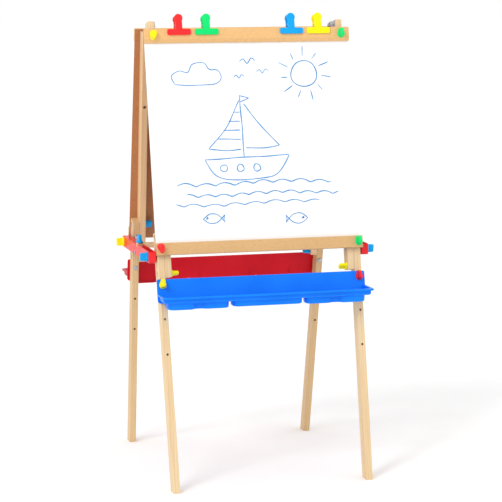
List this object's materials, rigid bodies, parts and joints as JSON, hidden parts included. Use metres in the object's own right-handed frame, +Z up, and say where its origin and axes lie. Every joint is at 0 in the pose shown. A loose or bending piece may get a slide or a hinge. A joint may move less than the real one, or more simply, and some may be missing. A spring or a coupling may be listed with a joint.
{
  "type": "kids easel",
  "caption": "Double-sided children's standing easel: dry-erase front, chalkboard back, timber A-frame with folding side braces, moulded trays, paper clips, thumb knobs and a paper-roll dowel.",
  "frame": {"origin": "on the floor under the middle of the open easel", "axes": "+Z up, dry-erase side faces -Y, +X to the right of someone facing that side"},
  "size_m": [0.6386, 0.644, 1.2258],
  "materials": {
    "pine": "clear satin lacquer",
    "pressed_board": "tan, fine speckle",
    "birch": "sanded, bare",
    "dry_erase": "glossy white melamine",
    "chalkboard": "matt black painted board",
    "blue_plastic": "satin moulded",
    "red_plastic": "satin moulded",
    "yellow_plastic": "satin moulded",
    "green_plastic": "satin moulded",
    "steel": "zinc plated"
  },
  "bodies": {
    "front_frame": {"clip_blue_front_jaw": "blue_plastic", "clip_green_front_jaw": "green_plastic", "clip_pins": "steel", "clip_red_front_jaw": "red_plastic", "clip_springs": "steel", "clip_yellow_front_jaw": "yellow_plastic", "dry_erase_board": "dry_erase", "front_bottom_rail": "pressed_board", "front_brace_bolts": "steel", "front_hinge_leaves": "steel", "front_knobs_green": "green_plastic", "front_knobs_red": "red_plastic", "front_knobs_yellow": "yellow_plastic", "front_leg_bolts": "steel", "front_leg_left": "pine", "front_leg_right": "pine", "front_rail_bolts": "steel", "front_stile_left": "pine", "front_stile_right": "pine", "front_top_rail": "pressed_board", "front_tray": "blue_plastic", "front_tray_bolts": "steel", "front_wood_screws": "steel", "hinge_pins": "steel"},
    "back_frame": {"back_bottom_rail": "pressed_board", "back_brace_barrels": "steel", "back_hinge_leaves": "steel", "back_knobs_blue": "blue_plastic", "back_knobs_outer": "green_plastic", "back_leg_bolts": "steel", "back_leg_left": "pine", "back_leg_right": "pine", "back_rail_bolts": "steel", "back_stile_left": "pine", "back_stile_right": "pine", "back_top_rail": "pressed_board", "back_tray": "red_plastic", "back_tray_bolts": "steel", "back_wood_screws": "steel", "chalkboard": "chalkboard"},
    "brace_front": {"brace_front_left": "red_plastic", "brace_front_right": "red_plastic", "paper_roll_dowel": "birch", "dowel_bolts": "steel", "brace_joint_pins": "steel"},
    "brace_rear_left": {"brace_rear_left": "red_plastic", "rear_brace_stud_left": "steel"},
    "front_brace_knob_left": {"front_brace_knob_left": "blue_plastic"},
    "rear_brace_knob_left": {"rear_brace_knob_left": "yellow_plastic"},
    "dowel_knob_left": {"dowel_knob_left": "blue_plastic"},
    "brace_rear_right": {"brace_rear_right": "red_plastic", "rear_brace_stud_right": "steel"},
    "front_brace_knob_right": {"front_brace_knob_right": "blue_plastic"},
    "rear_brace_knob_right": {"rear_brace_knob_right": "yellow_plastic"},
    "dowel_knob_right": {"dowel_knob_right": "blue_plastic"},
    "clip_red_back_jaw": {"clip_red_back_jaw": "red_plastic"},
    "clip_green_back_jaw": {"clip_green_back_jaw": "green_plastic"},
    "clip_blue_back_jaw": {"clip_blue_back_jaw": "blue_plastic"},
    "clip_yellow_back_jaw": {"clip_yellow_back_jaw": "yellow_plastic"}
  },
  "joints": [
    {"name": "fold", "type": "hinge", "parent": "front_frame", "child": "back_frame", "pos_m": [0, 0, 1.188], "axis": [-1, 0, 0], "range_deg": [0, 25]},
    {"name": "brace_lift", "type": "hinge", "parent": "front_frame", "child": "brace_front", "pos_m": [0, -0.16838, 0.59768], "axis": [1, 0, 0], "range_deg": [0, 62.17]},
    {"name": "brace_knuckle_left", "type": "hinge", "parent": "brace_front", "child": "brace_rear_left", "pos_m": [-0.28945, 0.004, 0.58818], "axis": [-1, 0, 0], "range_deg": [0, 161.62]},
    {"name": "front_brace_knob_left_turn", "type": "hinge", "parent": "front_frame", "child": "front_brace_knob_left", "pos_m": [-0.309, -0.16838, 0.59768], "axis": [-1, 0, 0], "continuous": true},
    {"name": "rear_brace_knob_left_turn", "type": "hinge", "parent": "brace_rear_left", "child": "rear_brace_knob_left", "pos_m": [-0.309, 0.16838, 0.59768], "axis": [-1, 0, 0], "continuous": true},
    {"name": "dowel_knob_left_turn", "type": "hinge", "parent": "brace_front", "child": "dowel_knob_left", "pos_m": [-0.28945, -0.014, 0.628], "axis": [0, 0, 1], "continuous": true},
    {"name": "brace_knuckle_right", "type": "hinge", "parent": "brace_front", "child": "brace_rear_right", "pos_m": [0.28945, 0.004, 0.58818], "axis": [-1, 0, 0], "range_deg": [0, 161.62]},
    {"name": "front_brace_knob_right_turn", "type": "hinge", "parent": "front_frame", "child": "front_brace_knob_right", "pos_m": [0.309, -0.16838, 0.59768], "axis": [1, 0, 0], "continuous": true},
    {"name": "rear_brace_knob_right_turn", "type": "hinge", "parent": "brace_rear_right", "child": "rear_brace_knob_right", "pos_m": [0.309, 0.16838, 0.59768], "axis": [1, 0, 0], "continuous": true},
    {"name": "dowel_knob_right_turn", "type": "hinge", "parent": "brace_front", "child": "dowel_knob_right", "pos_m": [0.28945, -0.014, 0.628], "axis": [0, 0, 1], "continuous": true},
    {"name": "clip_red_squeeze", "type": "hinge", "parent": "front_frame", "child": "clip_red_back_jaw", "pos_m": [-0.1875, -0.06123, 1.1937], "axis": [1, 0, 0], "range_deg": [0, 15], "stiffness_Nm_per_rad": 0.25, "springref_deg": -20.05},
    {"name": "clip_green_squeeze", "type": "hinge", "parent": "front_frame", "child": "clip_green_back_jaw", "pos_m": [-0.1125, -0.06123, 1.1937], "axis": [1, 0, 0], "range_deg": [0, 15], "stiffness_Nm_per_rad": 0.25, "springref_deg": -20.05},
    {"name": "clip_blue_squeeze", "type": "hinge", "parent": "front_frame", "child": "clip_blue_back_jaw", "pos_m": [0.1195, -0.06123, 1.1937], "axis": [1, 0, 0], "range_deg": [0, 15], "stiffness_Nm_per_rad": 0.25, "springref_deg": -20.05},
    {"name": "clip_yellow_squeeze", "type": "hinge", "parent": "front_frame", "child": "clip_yellow_back_jaw", "pos_m": [0.194, -0.06123, 1.1937], "axis": [1, 0, 0], "range_deg": [0, 15], "stiffness_Nm_per_rad": 0.25, "springref_deg": -20.05}
  ],
  "couplings": [
    {"joint": "brace_lift", "follows": "fold", "ratio": 2.4829},
    {"joint": "brace_knuckle_left", "follows": "fold", "ratio": 6.4609},
    {"joint": "brace_knuckle_right", "follows": "fold", "ratio": 6.4609}
  ]
}
